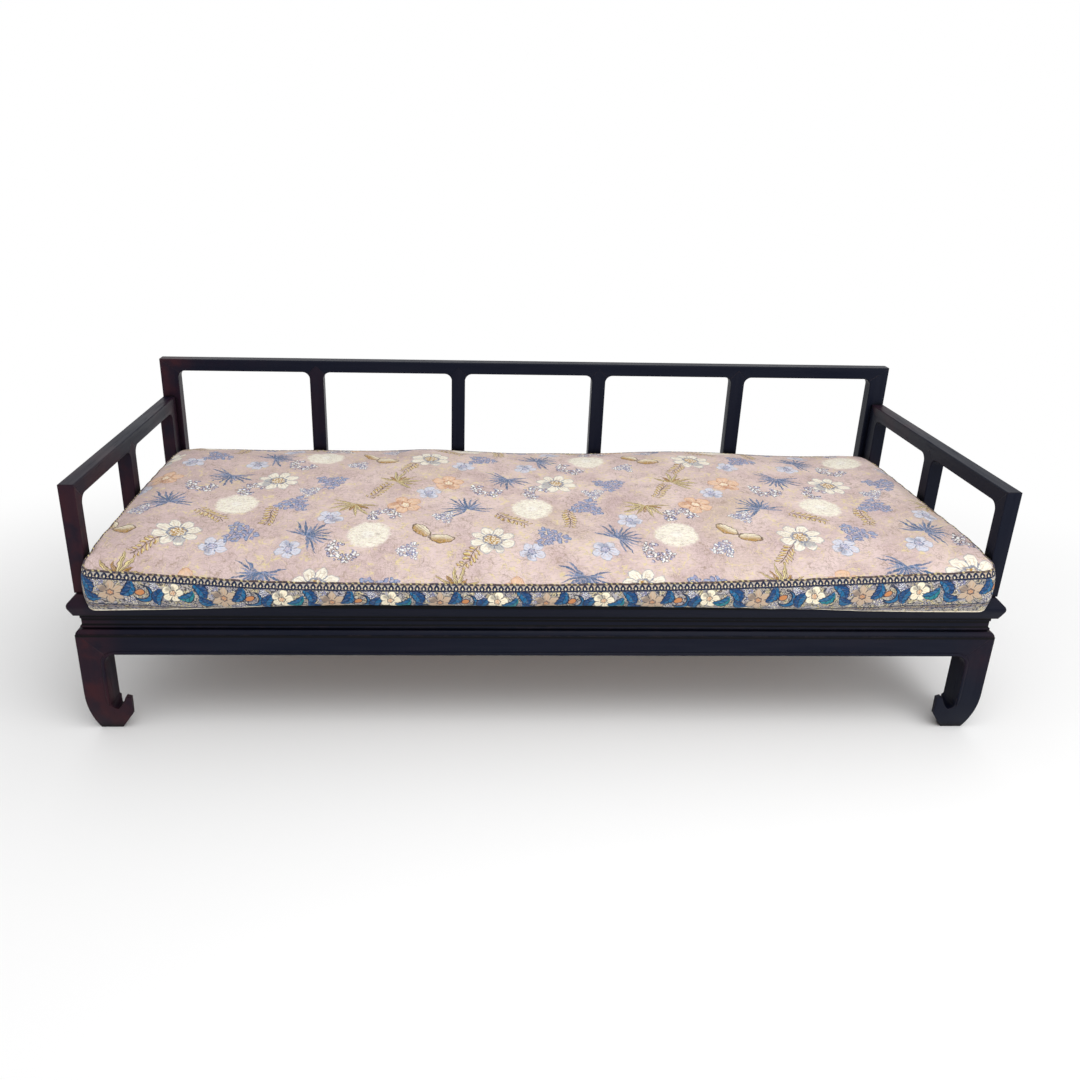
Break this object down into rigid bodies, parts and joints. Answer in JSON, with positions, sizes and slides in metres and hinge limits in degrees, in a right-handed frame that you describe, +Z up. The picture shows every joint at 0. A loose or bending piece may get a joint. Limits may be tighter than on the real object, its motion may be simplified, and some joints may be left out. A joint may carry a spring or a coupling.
{
  "type": "luohan daybed",
  "caption": "Low dark-wood luohan daybed with open railings on three sides, inward-curled horse-hoof legs, a recessed waist and a loose patterned box cushion.",
  "frame": {"origin": "on the floor, under the middle of the seat frame", "axes": "+X along the seat to the right seen from the front, +Y from the open front to the back railing, +Z up"},
  "size_m": [2.08, 0.772, 0.71],
  "materials": {
    "dark_wood": "near-black red-brown hardwood, rubbed satin",
    "inner_wood": "plain unfinished softwood and hardwood inside the seat",
    "cushion_fabric": "printed cotton, dusty rose with scattered flowers",
    "cushion_filling": "cotton wadding and foam"
  },
  "bodies": {
    "frame": {"apron_front": "dark_wood", "apron_left": "dark_wood", "apron_rear": "dark_wood", "apron_right": "dark_wood", "back_bottom_rail": "dark_wood", "back_left_post": "dark_wood", "back_middle_post_1": "dark_wood", "back_middle_post_2": "dark_wood", "back_middle_post_3": "dark_wood", "back_middle_post_4": "dark_wood", "back_right_post": "dark_wood", "back_top_rail": "dark_wood", "corner_keys": "inner_wood", "left_bottom_rail": "dark_wood", "left_front_post": "dark_wood", "left_middle_post": "dark_wood", "left_rear_post": "dark_wood", "left_top_rail": "dark_wood", "leg_front_left": "dark_wood", "leg_front_right": "dark_wood", "leg_rear_left": "dark_wood", "leg_rear_right": "dark_wood", "railing_keys": "inner_wood", "right_bottom_rail": "dark_wood", "right_front_post": "dark_wood", "right_middle_post": "dark_wood", "right_rear_post": "dark_wood", "right_top_rail": "dark_wood", "seat_board_1": "inner_wood", "seat_board_2": "inner_wood", "seat_board_3": "inner_wood", "seat_board_4": "inner_wood", "seat_brace_1": "inner_wood", "seat_brace_2": "inner_wood", "seat_brace_3": "inner_wood", "seat_brace_4": "inner_wood", "seat_front_member": "dark_wood", "seat_left_member": "dark_wood", "seat_rear_member": "dark_wood", "seat_right_member": "dark_wood", "waist_front": "dark_wood", "waist_left": "dark_wood", "waist_rear": "dark_wood", "waist_right": "dark_wood"},
    "cushion": {"cushion_core": "cushion_filling", "cushion_cover": "cushion_fabric"}
  },
  "joints": [
    {"name": "cushion_lift", "type": "slide", "parent": "frame", "child": "cushion", "axis": [0, 0, 1], "range_m": [0, 0.45]}
  ]
}
